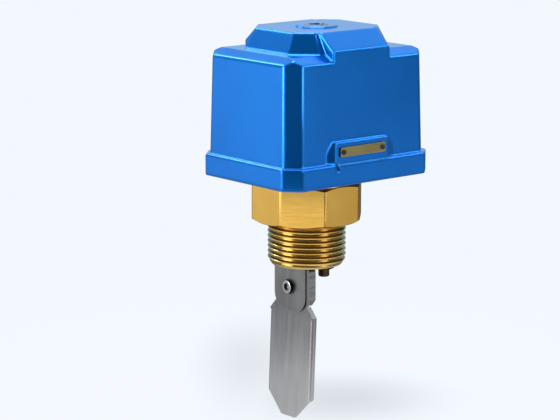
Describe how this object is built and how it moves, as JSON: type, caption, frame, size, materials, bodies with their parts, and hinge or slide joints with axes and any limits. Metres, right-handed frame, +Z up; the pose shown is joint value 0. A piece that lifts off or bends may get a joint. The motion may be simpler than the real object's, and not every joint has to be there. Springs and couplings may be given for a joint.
{
  "type": "paddle flow switch",
  "caption": "Paddle flow switch with a blue cast housing, brass pipe-thread body and stainless paddle.",
  "frame": {"origin": "on the axis of the male pipe thread, half-way down its straight wall", "axes": "+Z up the thread's axis out of the pipe and into the housing, +X the direction of flow, towards the conduit entry, -Y the nameplate side"},
  "size_m": [0.0802, 0.0634, 0.1678],
  "materials": {
    "brass": "turned and milled, semi-bright",
    "nameplate_brass": "flat sheet, satin",
    "blue_paint": "gloss enamel on a die casting",
    "zinc_plated_steel": "bright zinc plate",
    "green_screw": "green dyed zinc",
    "stainless": "rolled and brushed",
    "bellows_bronze": "drawn thin wall",
    "spring_steel": "oiled wire",
    "black_plastic": "moulded phenolic",
    "red_plastic": "moulded",
    "rubber": "moulded gasket"
  },
  "bodies": {
    "switch_body": {"brass_body": "brass", "stop_lug": "brass", "body_gasket": "rubber", "base_plate": "zinc_plated_steel", "cover_gasket": "rubber", "body_screws": "zinc_plated_steel", "ground_screw": "green_screw", "frame_bracket": "zinc_plated_steel", "cover_post": "zinc_plated_steel", "pivot_pin": "zinc_plated_steel", "pivot_clip": "zinc_plated_steel", "switch_case": "black_plastic", "leaf_pin": "brass", "switch_screws": "zinc_plated_steel", "terminal_plates": "brass", "terminal_screws": "zinc_plated_steel", "switch_bracket": "zinc_plated_steel", "bracket_screws": "zinc_plated_steel", "range_spring": "spring_steel"},
    "housing_cover": {"cover": "blue_paint", "nameplate": "nameplate_brass", "nameplate_pins": "zinc_plated_steel", "screw_eyelet": "zinc_plated_steel"},
    "lid_screw": {"cover_screw": "zinc_plated_steel"},
    "paddle": {"paddle_lever": "stainless", "bellows": "bellows_bronze", "paddle_blade": "stainless", "clamp_plate": "stainless", "lock_washer": "stainless", "paddle_screw": "stainless"},
    "leaf": {"switch_leaf": "stainless"},
    "plunger": {"switch_plunger": "red_plastic"},
    "adjusting_screw": {"range_screw": "zinc_plated_steel"},
    "travelling_seat": {"spring_seat": "zinc_plated_steel"}
  },
  "joints": [
    {"name": "paddle_swing", "type": "hinge", "parent": "switch_body", "child": "paddle", "pos_m": [0, 0, 0.03905], "axis": [0, -1, 0], "range_deg": [0, 11], "stiffness_Nm_per_rad": 0.3, "springref_deg": -9.74, "deforming": ["range_spring"]},
    {"name": "leaf_tilt", "type": "hinge", "parent": "switch_body", "child": "leaf", "pos_m": [-0.02698, 0, 0.04155], "axis": [0, 1, 0], "range_deg": [0, 12]},
    {"name": "plunger_travel", "type": "slide", "parent": "switch_body", "child": "plunger", "axis": [0, 0, -1], "range_m": [0, 0.0012]},
    {"name": "range_screw_turn", "type": "hinge", "parent": "switch_body", "child": "adjusting_screw", "pos_m": [0.013, 0, 0.06805], "axis": [0, 0, 1], "range_deg": [-1020, 1020]},
    {"name": "spring_seat_travel", "type": "slide", "parent": "switch_body", "child": "travelling_seat", "axis": [0, 0, 1], "range_m": [-0.002, 0.002], "deforming": ["range_spring"]},
    {"name": "cover_lift", "type": "slide", "parent": "switch_body", "child": "housing_cover", "axis": [0, 0, 1], "range_m": [0, 0.065]},
    {"name": "cover_screw_turn", "type": "hinge", "parent": "housing_cover", "child": "lid_screw", "pos_m": [0.0052, 0, 0.08905], "axis": [0, 0, 1], "continuous": true}
  ],
  "couplings": [
    {"joint": "leaf_tilt", "follows": "paddle_swing", "ratio": 1},
    {"joint": "plunger_travel", "follows": "paddle_swing", "m_per_rad": 0.0058}
  ]
}
